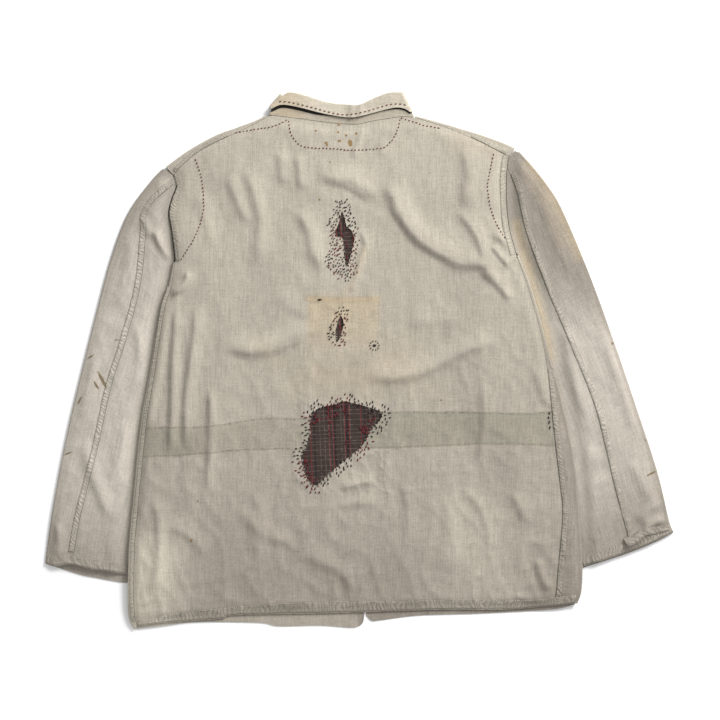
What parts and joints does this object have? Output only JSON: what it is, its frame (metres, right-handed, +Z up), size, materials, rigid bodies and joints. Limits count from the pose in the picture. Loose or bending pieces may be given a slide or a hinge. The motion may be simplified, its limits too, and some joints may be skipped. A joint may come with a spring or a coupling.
{
  "type": "patched work jacket",
  "caption": "Worn cotton work jacket laid flat with its back up, patched from behind under torn openings and mended with running stitches.",
  "frame": {"origin": "under the middle of the jacket, on the surface it lies on", "axes": "+Z up out of the jacket's back, +Y from hem to collar, +X across the back towards the wearer's right"},
  "size_m": [0.9416, 0.805, 0.009],
  "materials": {
    "back_cloth": "faded cotton twill, matt",
    "front_cloth": "faded cotton twill, matt",
    "sleeve_cloth": "faded cotton twill, matt",
    "collar_cloth": "yellowed cotton twill, matt",
    "check_cloth": "brushed dark check cotton, matt"
  },
  "bodies": {
    "root": {"back_panel": "back_cloth", "front_left": "front_cloth", "front_right": "front_cloth", "sleeve_left_outer": "sleeve_cloth", "sleeve_left_inner": "sleeve_cloth", "sleeve_right_outer": "sleeve_cloth", "sleeve_right_inner": "sleeve_cloth", "collar_stand": "collar_cloth", "collar_leaf": "collar_cloth", "patch_large": "check_cloth", "patch_small": "check_cloth", "patch_upper": "check_cloth"}
  },
  "joints": []
}
